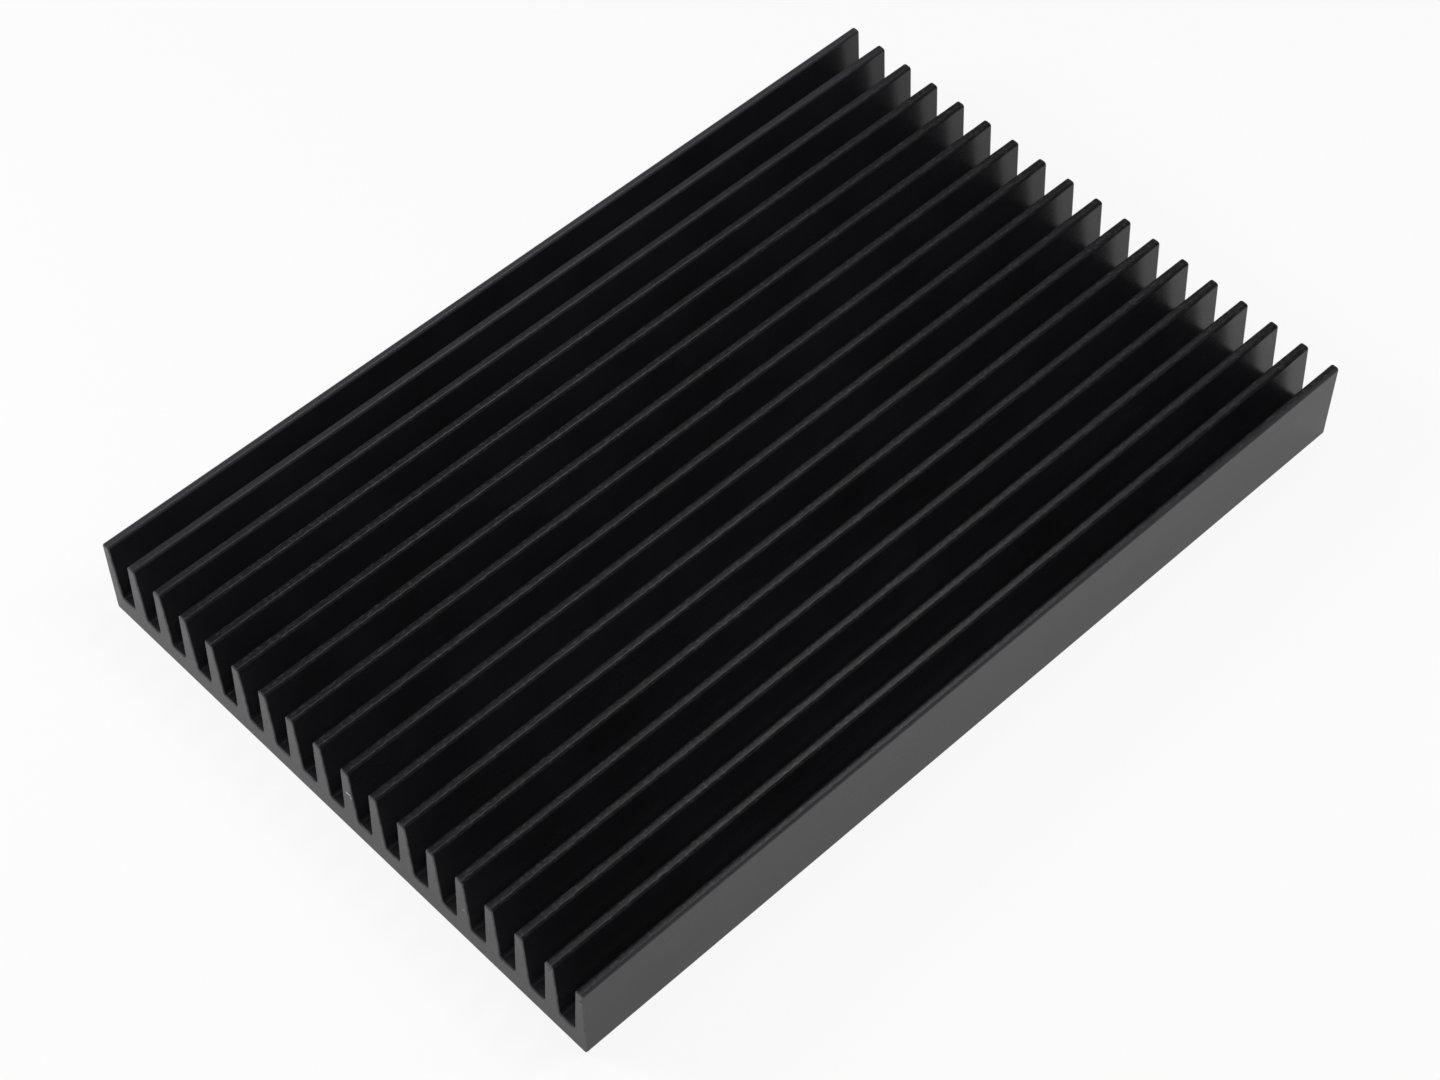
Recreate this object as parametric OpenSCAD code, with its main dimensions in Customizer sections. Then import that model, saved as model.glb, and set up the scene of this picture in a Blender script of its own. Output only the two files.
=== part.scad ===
// Extruded heat sink: a flat base plate with a row of straight, slightly tapered fins,
// one piece of aluminium cut square from a long bar.
// X runs across the fins, Y along them and Z up from the flat underside, all in millimetres.

/* [Overall] */
// Width across the fins
body_w = 100; // [75:1:160]
// Length along the fins
body_l = 150; // [20:1:400]
// Height from the underside to the fin tips
body_h = 15; // [9:0.5:25]

/* [Base] */
// Thickness of the base plate under the groove floors
base_t = 3.9; // [2:0.1:8]
// Rounding of the two long edges of the underside
edge_r = 0.4; // [0.1:0.05:1]

/* [Fins] */
// Number of fins, the two outer ones included
fin_count = 18; // [6:1:24]
// Thickness of an inner fin at its tip
fin_tip_t = 1.5; // [1:0.1:2.5]
// Thickness of each outer fin at its tip
outer_tip_t = 1.4; // [1:0.1:2.5]
// Draft of the groove walls from the vertical, in degrees
wall_draft = 3.4; // [0:0.1:6]
// Rounding of the corners of the fin tips
tip_r = 0.5; // [0.1:0.05:0.5]
// Fillet between a groove's floor and its walls
root_r = 0.55; // [0.1:0.05:0.7]

/* [Hidden] */
$fn = 64;

groove_count = fin_count - 1;
groove_d = body_h - base_t;
mouth_w = (body_w - 2 * outer_tip_t - (fin_count - 2) * fin_tip_t) / groove_count;
fin_pitch = mouth_w + fin_tip_t;
floor_w = mouth_w - 2 * groove_d * tan(wall_draft);

// A rounding meets the wall and the flat face this far from their corner
round_reach = 1 / tan((90 + wall_draft) / 2);
tip_reach = tip_r * round_reach;
root_reach = root_r * round_reach;

// The roundings beside a groove are drawn larger by this, so they cross the faces they blend into
blend_over = 0.001;
// The grooves are cut from this far above the fin tips
cut_over = 1;

// Right half of a groove's outline as [x, height over the groove floor], from the floor up
half_groove = [
    [floor_w / 2 - root_reach, 0],
    [floor_w / 2 + root_reach * sin(wall_draft), root_reach * cos(wall_draft)],
    [mouth_w / 2 - tip_reach * sin(wall_draft), groove_d - tip_reach * cos(wall_draft)],
    [mouth_w / 2 + tip_reach, groove_d],
    [mouth_w / 2 + tip_reach, groove_d + cut_over]
];
left_half = [for (i = [len(half_groove) - 1 : -1 : 0]) [-half_groove[i].x, half_groove[i].y]];

// Section of the bar before its grooves: a rectangle with four rounded corners.
module blank_section() {
    side = body_w / 2;
    polygon([
        [-side + edge_r, 0], [side - edge_r, 0],
        [side, edge_r], [side, body_h - tip_r],
        [side - tip_r, body_h], [-side + tip_r, body_h],
        [-side, body_h - tip_r], [-side, edge_r]
    ]);
    for (dir = [-1, 1]) {
        translate([dir * (side - edge_r), edge_r]) circle(r = edge_r);
        translate([dir * (side - tip_r), body_h - tip_r]) circle(r = tip_r);
    }
}

// One groove: tapered walls, filleted at the floor, between the rounded tips of two fins.
module groove_section() {
    difference() {
        polygon(concat(half_groove, left_half));
        for (dir = [-1, 1])
            translate([dir * (mouth_w / 2 + tip_reach), groove_d - tip_r])
                circle(r = tip_r + blend_over);
    }
    for (dir = [-1, 1])
        translate([dir * (floor_w / 2 - root_reach), root_r])
            circle(r = root_r + blend_over);
}

// The whole extrusion: the grooved section stood up and run along Y.
module heat_sink() {
    color("#2e2e30")
        rotate([90, 0, 0])
            linear_extrude(height = body_l, center = true)
                difference() {
                    blank_section();
                    for (i = [0 : groove_count - 1])
                        translate([(i - (groove_count - 1) / 2) * fin_pitch, base_t])
                            groove_section();
                }
}

heat_sink();
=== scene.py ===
import math

import bmesh
import bpy
from mathutils import Matrix, Vector


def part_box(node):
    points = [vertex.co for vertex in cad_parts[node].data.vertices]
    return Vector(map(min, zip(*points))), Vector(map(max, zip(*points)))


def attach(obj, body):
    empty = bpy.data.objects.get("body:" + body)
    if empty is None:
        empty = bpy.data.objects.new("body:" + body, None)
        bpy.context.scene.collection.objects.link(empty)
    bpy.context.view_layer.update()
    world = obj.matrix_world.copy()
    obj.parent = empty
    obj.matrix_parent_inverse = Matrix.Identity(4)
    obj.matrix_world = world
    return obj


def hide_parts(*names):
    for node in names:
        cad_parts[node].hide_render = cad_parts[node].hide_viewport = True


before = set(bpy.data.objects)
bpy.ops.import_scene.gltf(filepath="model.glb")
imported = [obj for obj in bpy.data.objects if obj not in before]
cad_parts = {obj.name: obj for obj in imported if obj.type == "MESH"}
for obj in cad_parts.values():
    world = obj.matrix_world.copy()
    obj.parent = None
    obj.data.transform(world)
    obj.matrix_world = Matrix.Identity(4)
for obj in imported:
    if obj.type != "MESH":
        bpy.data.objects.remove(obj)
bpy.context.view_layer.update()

# The bar: one length of extruded aluminium, a flat base plate with straight fins standing on it.
# It is pressed through a die as one section, sawn square to length and its cut edges deburred.
# It is drawn in millimetres and shrunk to metres once its shape is done.
MM = 0.001
low, high = (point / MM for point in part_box("heat_sink"))
bar_w, bar_l, bar_h = high - low
base_t = 3.9
fin_count = 18
fin_tip_t = 1.5
outer_tip_t = 1.4
wall_draft = math.radians(3.4)
tip_r = 0.5
root_r = 0.55
edge_r = 0.4
round_steps = 7
deburr = 0.22
deburr_steps = 2
EXTRUDED, SAWN, DEBURRED, BARE = range(4)

groove_count = fin_count - 1
groove_d = bar_h - base_t
mouth_w = (bar_w - 2 * outer_tip_t - (fin_count - 2) * fin_tip_t) / groove_count
fin_pitch = mouth_w + fin_tip_t
draft_w = groove_d * math.tan(wall_draft)
floor_w = mouth_w - 2 * draft_w
groove_x = [(i - (groove_count - 1) / 2) * fin_pitch for i in range(groove_count)]
# A rounding of radius 1 between a wall and a flat face starts this far from their corner
round_reach = 1 / math.tan((math.pi / 2 + wall_draft) / 2)
# Two places on the mesh that are closer than this are the same place
NEAR = 1e-3


def pick(kind, test):
    """Selects the edges, faces or vertices of the mesh in edit mode that pass the test."""
    bpy.ops.mesh.select_mode(type=kind)
    bpy.ops.mesh.select_all(action="DESELECT")
    mesh = bmesh.from_edit_mesh(bpy.context.object.data)
    for part in {"VERT": mesh.verts, "EDGE": mesh.edges, "FACE": mesh.faces}[kind]:
        part.select_set(test(part))
    mesh.select_flush_mode()
    bmesh.update_edit_mesh(bpy.context.object.data)


def long_edge(edge, z):
    """Tells whether an edge runs along the bar at this height."""
    a, b = (v.co for v in edge.verts)
    return abs(a.x - b.x) < NEAR and abs(a.z - z) < NEAR and abs(b.z - z) < NEAR


def on_outer_side(edge):
    return abs(edge.verts[0].co.x) > bar_w / 2 - NEAR


def in_a_groove(x):
    return any(abs(x - middle) < floor_w / 2 for middle in groove_x)


bpy.ops.object.select_all(action="DESELECT")
bpy.ops.mesh.primitive_cube_add(size=1, location=(0, 0, base_t / 2), scale=(bar_w, bar_l, base_t))
bar = bpy.context.object
bar.name = "finned_bar"
bpy.ops.object.transform_apply(location=True, rotation=False, scale=True)
for finish in (EXTRUDED, SAWN, DEBURRED, BARE):
    bpy.ops.object.material_slot_add()
bpy.ops.object.mode_set(mode="EDIT")
for middle in groove_x:
    for side in (-1, 1):
        bpy.ops.mesh.select_all(action="SELECT")
        bpy.ops.mesh.bisect(plane_co=(middle + side * floor_w / 2, 0, 0), plane_no=(1, 0, 0))
pick("FACE", lambda f: f.normal.z > 0.9 and not in_a_groove(f.calc_center_median().x))
bpy.ops.mesh.extrude_region_move(TRANSFORM_OT_translate={"value": (0, 0, groove_d)})

# The walls lean back from the root to the tip, all but the two upright outer sides
for side in (-1, 1):
    wall_x = [middle + side * floor_w / 2 for middle in groove_x]
    pick("VERT", lambda v: v.co.z > bar_h - NEAR and any(abs(v.co.x - x) < NEAR for x in wall_x))
    bpy.ops.transform.translate(value=(side * draft_w, 0, 0))

# Neighbouring faces of one plane become one face, and the long edges are rounded as the die made them
bpy.ops.mesh.select_all(action="SELECT")
bpy.ops.mesh.dissolve_limited(angle_limit=math.radians(0.5))
bar.active_material_index = SAWN
pick("FACE", lambda f: abs(f.normal.y) > 0.9)
bpy.ops.object.material_slot_assign()
roundings = (
    (tip_r * round_reach, lambda e: long_edge(e, bar_h) and not on_outer_side(e)),
    (tip_r, lambda e: long_edge(e, bar_h) and on_outer_side(e)),
    (root_r * round_reach, lambda e: long_edge(e, base_t)),
    (edge_r, lambda e: long_edge(e, 0)),
)
for reach, belongs in roundings:
    pick("EDGE", belongs)
    bpy.ops.mesh.bevel(offset=reach, segments=round_steps, affect="EDGES", material=EXTRUDED)

# The sawn outline at each end is deburred
pick("EDGE", lambda e: abs(e.verts[0].co.y + e.verts[1].co.y) > bar_l - NEAR)
bpy.ops.mesh.bevel(offset=deburr, segments=deburr_steps, affect="EDGES", material=DEBURRED)
bpy.ops.object.mode_set(mode="OBJECT")

# Knocks on the near end: a scratch on one fin cut through the black to bright metal, with a pit over it
# and a fainter mark beside it. A fin further on has two bright specks, and two tips are dented.
# Each is an egg's hollow: fin, place across it, height, tilt, the egg's half sizes, depth and finish.
near_y = -bar_l / 2
knocks = (
    (10, 0.2, 9.8, -20, (1.2, 0.25, 0.5), 0.03, BARE),
    (10, 0.72, 9.3, -12, (0.3, 0.2, 0.8), 0.02, BARE),
    (10, 0.55, 10.35, 0, (0.18, 0.3, 0.15), 0.28, SAWN),
    (14, 0.37, 7.88, 15, (0.4, 0.2, 0.36), 0.02, BARE),
    (14, 0.98, 8.1, 0, (0.26, 0.2, 0.26), 0.015, BARE),
    (17, 0.14, 14, -15, (0.3, 0.2, 0.6), 0.05, SAWN),
    (18, 0.35, 13.45, -12, (1, 0.3, 0.5), 0.06, SAWN),
)
for fin, across, above, tilt, half_sizes, depth, finish in knocks:
    fin_middle = (fin - (fin_count + 1) / 2) * fin_pitch
    egg_middle = (fin_middle + across, near_y - half_sizes[1] + depth, above)
    bpy.ops.object.select_all(action="DESELECT")
    bpy.ops.mesh.primitive_ico_sphere_add(subdivisions=4, radius=1, scale=half_sizes, location=egg_middle,
                                          rotation=(0, math.radians(tilt), 0))
    egg = bpy.context.object
    for _ in bar.material_slots:
        bpy.ops.object.material_slot_add()
    egg.data.polygons.foreach_set("material_index", [finish] * len(egg.data.polygons))
    bpy.context.view_layer.objects.active = bar
    bpy.ops.object.modifier_add(type="BOOLEAN")
    bar.modifiers[-1].object = egg
    bar.modifiers[-1].solver = "EXACT"
    bpy.ops.object.modifier_apply(modifier=bar.modifiers[-1].name)
    bpy.data.objects.remove(egg)

bar.select_set(True)
bar.scale = (MM, MM, MM)
bpy.ops.object.transform_apply(location=False, rotation=False, scale=True)
bpy.ops.object.shade_smooth_by_angle(angle=math.radians(50))
bpy.ops.object.modifier_add(type="WEIGHTED_NORMAL")
bar.modifiers[-1].keep_sharp = True
bar.modifiers[-1].weight = 100
bpy.ops.object.modifier_apply(modifier=bar.modifiers[-1].name)
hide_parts("heat_sink")
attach(bar, "root")

# The bar's finish: it is etched dull in caustic soda, anodised and dyed black under a clear, hard oxide.
# The saw cut, the deburred edges and the scratches look different, so each has a material of its own.


def colour(code):
    """A colour written as sRGB hex, as the linear RGBA that Blender's sockets take."""
    levels = [int(code[i:i + 2], 16) / 255 for i in (1, 3, 5)]
    return [v / 12.92 if v <= 0.04045 else ((v + 0.055) / 1.055) ** 2.4 for v in levels] + [1]


def node(tree, kind, sockets, **settings):
    """Adds a node with its settings; sockets gives each input a value or the output that feeds it."""
    made = tree.nodes.new("ShaderNode" + kind)
    for name, value in settings.items():
        setattr(made, name, value)
    for name, value in sockets.items():
        if isinstance(value, bpy.types.NodeSocket):
            tree.links.new(value, made.inputs[name])
        else:
            made.inputs[name].default_value = value
    return made


def new_finish(name, slot):
    """Puts a new material in one of the bar's slots; gives its nodes, shader and place on the bar."""
    material = bpy.data.materials.new(name)
    material.use_nodes = True
    bar.material_slots[slot].material = material
    tree = material.node_tree
    place = node(tree, "TexCoord", {}).outputs["Object"]
    return tree, tree.nodes["Principled BSDF"], place


# Black anodised aluminium, as extruded: near black and satin, so it softly mirrors pale surroundings.
# The dye is cloudy, and the rubbed tips are duller and flecked grey. The tips' colour grades from near
# black on the right to grey at the left edge, and a painted highlight greys the rounding along the outer
# right corner.
# The real etch grain and the lines that the die drew are finer than a pixel, so both are drawn coarser.
oxide_ior = 1.4
cloud_size = 14
line_w, line_l = 0.4, 90
grain_size = 0.22
fleck_w, fleck_l = 0.35, 0.65
tip_band_depth = 0.5
# Where the painted highlight along the outer right corner fades in, in mm in from the side
corner_highlight_from, corner_highlight_to = 0.55, 0.15
satin_smooth, satin_rough = 0.22, 0.3
rub_rough = 0.05
line_relief = 0.5
fleck_relief = 3.0
relief_depth = 0.003
satin, skin, skin_place = new_finish("black_anodised_extruded", EXTRUDED)
skin.inputs["IOR"].default_value = oxide_ior
axes = node(satin, "SeparateXYZ", {"Vector": skin_place})
# The tips' colour grades from near black, darker than the dye, to grey towards the left edge
leftward = node(satin, "MapRange", {"Value": axes.outputs["X"], "From Min": -bar_w / 4 * MM,
                                    "From Max": -bar_w / 2 * MM})
left_grading = node(satin, "Math", {0: leftward.outputs[0], 1: 2.0}, operation="POWER")
# Mask of the painted highlight: the outer right corner's rounding is coloured paler, as if lit along that
# edge
corner_highlight = node(satin, "MapRange", {"Value": axes.outputs["X"], "From Min": (bar_w / 2 - corner_highlight_from) * MM,
                                  "From Max": (bar_w / 2 - corner_highlight_to) * MM})
tip_band = node(satin, "MapRange", {"Value": axes.outputs["Z"], "From Min": (bar_h - tip_band_depth) * MM,
                               "From Max": bar_h * MM})
cloud = node(satin, "TexNoise", {"Vector": skin_place, "Scale": 1 / (cloud_size * MM), "Detail": 4.0})
line_cell = node(satin, "Mapping", {"Vector": skin_place,
                                    "Scale": [1 / (w * MM) for w in (line_w, line_l, line_w)]})
lines = node(satin, "TexNoise", {"Vector": line_cell.outputs[0], "Scale": 1.0, "Detail": 2.0})
grain = node(satin, "TexNoise", {"Vector": skin_place, "Scale": 1 / (grain_size * MM), "Detail": 2.0})
fleck_cell = node(satin, "Mapping", {"Vector": skin_place,
                                     "Scale": [1 / (w * MM) for w in (fleck_w, fleck_l, fleck_w)]})
fleck_noise = node(satin, "TexNoise", {"Vector": fleck_cell.outputs[0], "Scale": 1.0, "Detail": 1.0})
fleck = node(satin, "MapRange", {"Value": fleck_noise.outputs[0], "From Min": 0.5, "From Max": 0.8})
rubbed_fleck = node(satin, "Math", {0: fleck.outputs[0], 1: tip_band.outputs[0]}, operation="MULTIPLY")
dye = node(satin, "MapRange", {"Value": cloud.outputs[0], "From Min": 0.3, "From Max": 0.7})
dyed = node(satin, "Mix", {"Factor": dye.outputs[0], 6: colour("#1b1b1d"), 7: colour("#222225")},
            data_type="RGBA")
tip = node(satin, "Mix", {"Factor": left_grading.outputs[0], 6: colour("#0e0e10"), 7: colour("#363639")},
           data_type="RGBA")
# Painted highlight: the outer right corner of the tips gets a paler grey
tip_and_corner_highlight = node(satin, "Mix", {"Factor": corner_highlight.outputs[0], 6: tip.outputs[2], 7: colour("#3a3a3d")},
                data_type="RGBA")
dye_tips_and_highlight = node(satin, "Mix", {"Factor": tip_band.outputs[0], 6: dyed.outputs[2], 7: tip_and_corner_highlight.outputs[2]},
            data_type="RGBA")
flecked = node(satin, "Mix", {"Factor": rubbed_fleck.outputs[0], 6: dye_tips_and_highlight.outputs[2], 7: colour("#343437")},
               data_type="RGBA")
satin.links.new(flecked.outputs[2], skin.inputs["Base Color"])
line_gloss = node(satin, "MapRange", {"Value": lines.outputs[0], "To Min": satin_smooth,
                                      "To Max": satin_rough})
rubbed_gloss = node(satin, "Math", {0: tip_band.outputs[0], 1: rub_rough, 2: line_gloss.outputs[0]},
                    operation="MULTIPLY_ADD")
satin.links.new(rubbed_gloss.outputs[0], skin.inputs["Roughness"])
relief = node(satin, "Math", {0: lines.outputs[0], 1: line_relief, 2: grain.outputs[0]},
              operation="MULTIPLY_ADD")
scuffed = node(satin, "Math", {0: rubbed_fleck.outputs[0], 1: fleck_relief, 2: relief.outputs[0]},
               operation="MULTIPLY_ADD")
skin_bump = node(satin, "Bump", {"Height": scuffed.outputs[0], "Strength": 1.0,
                                 "Distance": relief_depth * MM})
satin.links.new(skin_bump.outputs[0], skin.inputs["Normal"])

# Black anodised aluminium, as sawn: the blade leaves faint arcs across the end, dulled by etch and dye.
# The arcs are wider apart here than the blade's real feed, which is finer than a pixel.
arc_pitch = 0.5
arc_relief = 0.3
saw_centre = (90, 0, -160)
sawn, end_skin, end_place = new_finish("black_anodised_sawn", SAWN)
end_skin.inputs["IOR"].default_value = oxide_ior
from_saw = node(sawn, "VectorMath", {0: end_place, 1: [c * MM for c in saw_centre]}, operation="SUBTRACT")
saw_radius = node(sawn, "VectorMath", {0: from_saw.outputs[0]}, operation="LENGTH")
arcs = node(sawn, "TexNoise", {"W": saw_radius.outputs["Value"], "Scale": 1 / (arc_pitch * MM),
                               "Detail": 2.0}, noise_dimensions="1D")
end_grain = node(sawn, "TexNoise", {"Vector": end_place, "Scale": 1 / (grain_size * MM), "Detail": 2.0})
end_cloud = node(sawn, "TexNoise", {"Vector": end_place, "Scale": 1 / (cloud_size * MM), "Detail": 4.0})
end_dyed = node(sawn, "Mix", {"Factor": end_cloud.outputs[0], 6: colour("#151516"), 7: colour("#202021")},
                data_type="RGBA")
sawn.links.new(end_dyed.outputs[2], end_skin.inputs["Base Color"])
arc_gloss = node(sawn, "MapRange", {"Value": arcs.outputs[0], "To Min": satin_smooth,
                                    "To Max": satin_rough})
sawn.links.new(arc_gloss.outputs[0], end_skin.inputs["Roughness"])
end_relief = node(sawn, "Math", {0: arcs.outputs[0], 1: arc_relief, 2: end_grain.outputs[0]},
                  operation="MULTIPLY_ADD")
end_bump = node(sawn, "Bump", {"Height": end_relief.outputs[0], "Strength": 1.0,
                               "Distance": relief_depth * MM})
sawn.links.new(end_bump.outputs[0], end_skin.inputs["Normal"])

# Rubbed anodising on the deburred edges: the black is thin there and wears to a broken grey line, and that
# grey also stands in for light caught on the edges, a painted highlight.
patch_size = 1.6
rim_wear_and_highlight, rim, rim_place = new_finish("rubbed_anodised_edge_painted_highlight", DEBURRED)
rim.inputs["IOR"].default_value = oxide_ior
rim.inputs["Roughness"].default_value = 0.34
patches = node(rim_wear_and_highlight, "TexNoise", {"Vector": rim_place, "Scale": 1 / (patch_size * MM), "Detail": 3.0})
thin_and_highlit_patches = node(rim_wear_and_highlight, "MapRange", {"Value": patches.outputs[0], "From Min": 0.4, "From Max": 0.65})
# Grey of worn anodising and painted edge highlight together
rim_grey_and_highlight = node(rim_wear_and_highlight, "Mix", {"Factor": thin_and_highlit_patches.outputs[0], 6: colour("#37373a"), 7: colour("#545456")},
              data_type="RGBA")
rim_wear_and_highlight.links.new(rim_grey_and_highlight.outputs[2], rim.inputs["Base Color"])

# Bare aluminium where a knock cut through the black: bright, with the marks of what dragged across it.
drag_size = 0.12
bare, metal, metal_place = new_finish("bare_scratched_aluminium", BARE)
metal.inputs["Metallic"].default_value = 1.0
drag = node(bare, "TexNoise", {"Vector": metal_place, "Scale": 1 / (drag_size * MM), "Detail": 2.0})
shine = node(bare, "Mix", {"Factor": drag.outputs[0], 6: colour("#8f9092"), 7: colour("#d2d3d5")},
             data_type="RGBA")
bare.links.new(shine.outputs[2], metal.inputs["Base Color"])
drag_gloss = node(bare, "MapRange", {"Value": drag.outputs[0], "To Min": 0.3, "To Max": 0.5})
bare.links.new(drag_gloss.outputs[0], metal.inputs["Roughness"])

# The studio: a plain pale floor under soft boxes, in a pale room. The camera sees both as nearly white.
# The bar mirrors a small share of that white, and for the rest it mirrors the floor as it is lit.
floor_white = 0.85
floor_mirrored = 0.2
room_mirrored = 0.1
room_light = 0.06
bpy.ops.mesh.primitive_plane_add(size=6, location=(0, 0, 0))
floor = bpy.context.object
floor.name = "floor"
pale = bpy.data.materials.new("pale_floor")
pale.use_nodes = True
floor.data.materials.append(pale)
ground = pale.node_tree
ground.nodes.remove(ground.nodes["Principled BSDF"])
floor_ray = node(ground, "LightPath", {})
matt = node(ground, "BsdfDiffuse", {"Color": colour("#ececec")})
glow = node(ground, "Emission", {"Color": colour("#ffffff"), "Strength": 1.0})
floor_in_gloss = node(ground, "Math", {0: floor_ray.outputs["Is Glossy Ray"],
                                       1: floor_ray.outputs["Is Transmission Ray"]}, operation="MAXIMUM")
gloss_share = node(ground, "Math", {0: floor_in_gloss.outputs[0], 1: floor_mirrored}, operation="MULTIPLY")
lift = node(ground, "Math", {0: floor_ray.outputs["Is Camera Ray"], 1: floor_white,
                             2: gloss_share.outputs[0]}, operation="MULTIPLY_ADD")
lifted = node(ground, "MixShader", {0: lift.outputs[0], 1: matt.outputs[0], 2: glow.outputs[0]})
ground.links.new(lifted.outputs[0], ground.nodes["Material Output"].inputs["Surface"])

world = bpy.data.worlds.new("studio")
bpy.context.scene.world = world
world.use_nodes = True
room = world.node_tree
sky = room.nodes["Background"]
sky.inputs["Color"].default_value = colour("#ffffff")
room_ray = node(room, "LightPath", {})
room_in_gloss = node(room, "Math", {0: room_ray.outputs["Is Glossy Ray"],
                                    1: room_ray.outputs["Is Transmission Ray"]}, operation="MAXIMUM")
seen = node(room, "Math", {0: room_in_gloss.outputs[0], 1: room_mirrored,
                           2: room_ray.outputs["Is Camera Ray"]}, operation="MULTIPLY_ADD")
level = node(room, "MapRange", {"Value": seen.outputs[0], "To Min": room_light, "To Max": 1.0})
room.links.new(level.outputs[0], sky.inputs["Strength"])

# Each soft box: its place, the point it faces, its size, its power and whether the bar mirrors it.
# Only the two overhead boxes gleam on the rounded tips, and the others just light the floor and the bar.
soft_boxes = {
    "front_box": ((0.22, -0.25, 0.56), (0.03, 0, 0), (0.2, 0.2), 1.3, False),
    "right_box": ((0.2, 0.24, 0.43), (0.04, 0.02, 0), (0.2, 0.2), 1.05, False),
    "left_box": ((-0.25, -0.22, 0.2), (-0.05, -0.08, 0), (0.15, 0.15), 0.65, False),
    "top_box": ((-0.13, 0.275, 0.72), (0, 0, 0), (0.14, 0.26), 0.74, True),
    "rear_top_box": ((-0.345, 0.3, 0.6), (0, 0, 0), (0.25, 0.25), 0.04, True),
}
for box_name, (stand, aim, size, power, gleams) in soft_boxes.items():
    bpy.ops.object.light_add(type="AREA", location=stand)
    lamp = bpy.context.object
    lamp.name = box_name
    lamp.rotation_euler = (Vector(aim) - Vector(stand)).to_track_quat("-Z", "Y").to_euler()
    lamp.data.shape = "RECTANGLE"
    lamp.data.size, lamp.data.size_y = size
    lamp.data.energy = power
    lamp.visible_camera = False
    lamp.visible_glossy = gleams

# The camera: the photograph's own view, found from the bar's straight edges.
target = Vector((0.00157, -0.00429, 0))
azimuth, elevation, roll = (math.radians(a) for a in (46.2083, 52.7459, -0.1382))
distance = 0.45491
focal_px, image_w = 3108.4, 1440
bpy.ops.object.camera_add()
camera = bpy.context.object
turn = (
    Matrix.Rotation(azimuth, 4, "Z")
    @ Matrix.Rotation(math.pi / 2 - elevation, 4, "X")
    @ Matrix.Rotation(roll, 4, "Z")
)
camera.matrix_world = Matrix.Translation(target) @ turn @ Matrix.Translation((0, 0, distance))
camera.data.sensor_width = 36
camera.data.lens = camera.data.sensor_width * focal_px / image_w
camera.data.clip_start = 0.01
bpy.context.scene.camera = camera
bpy.context.scene.view_settings.view_transform = "Standard"
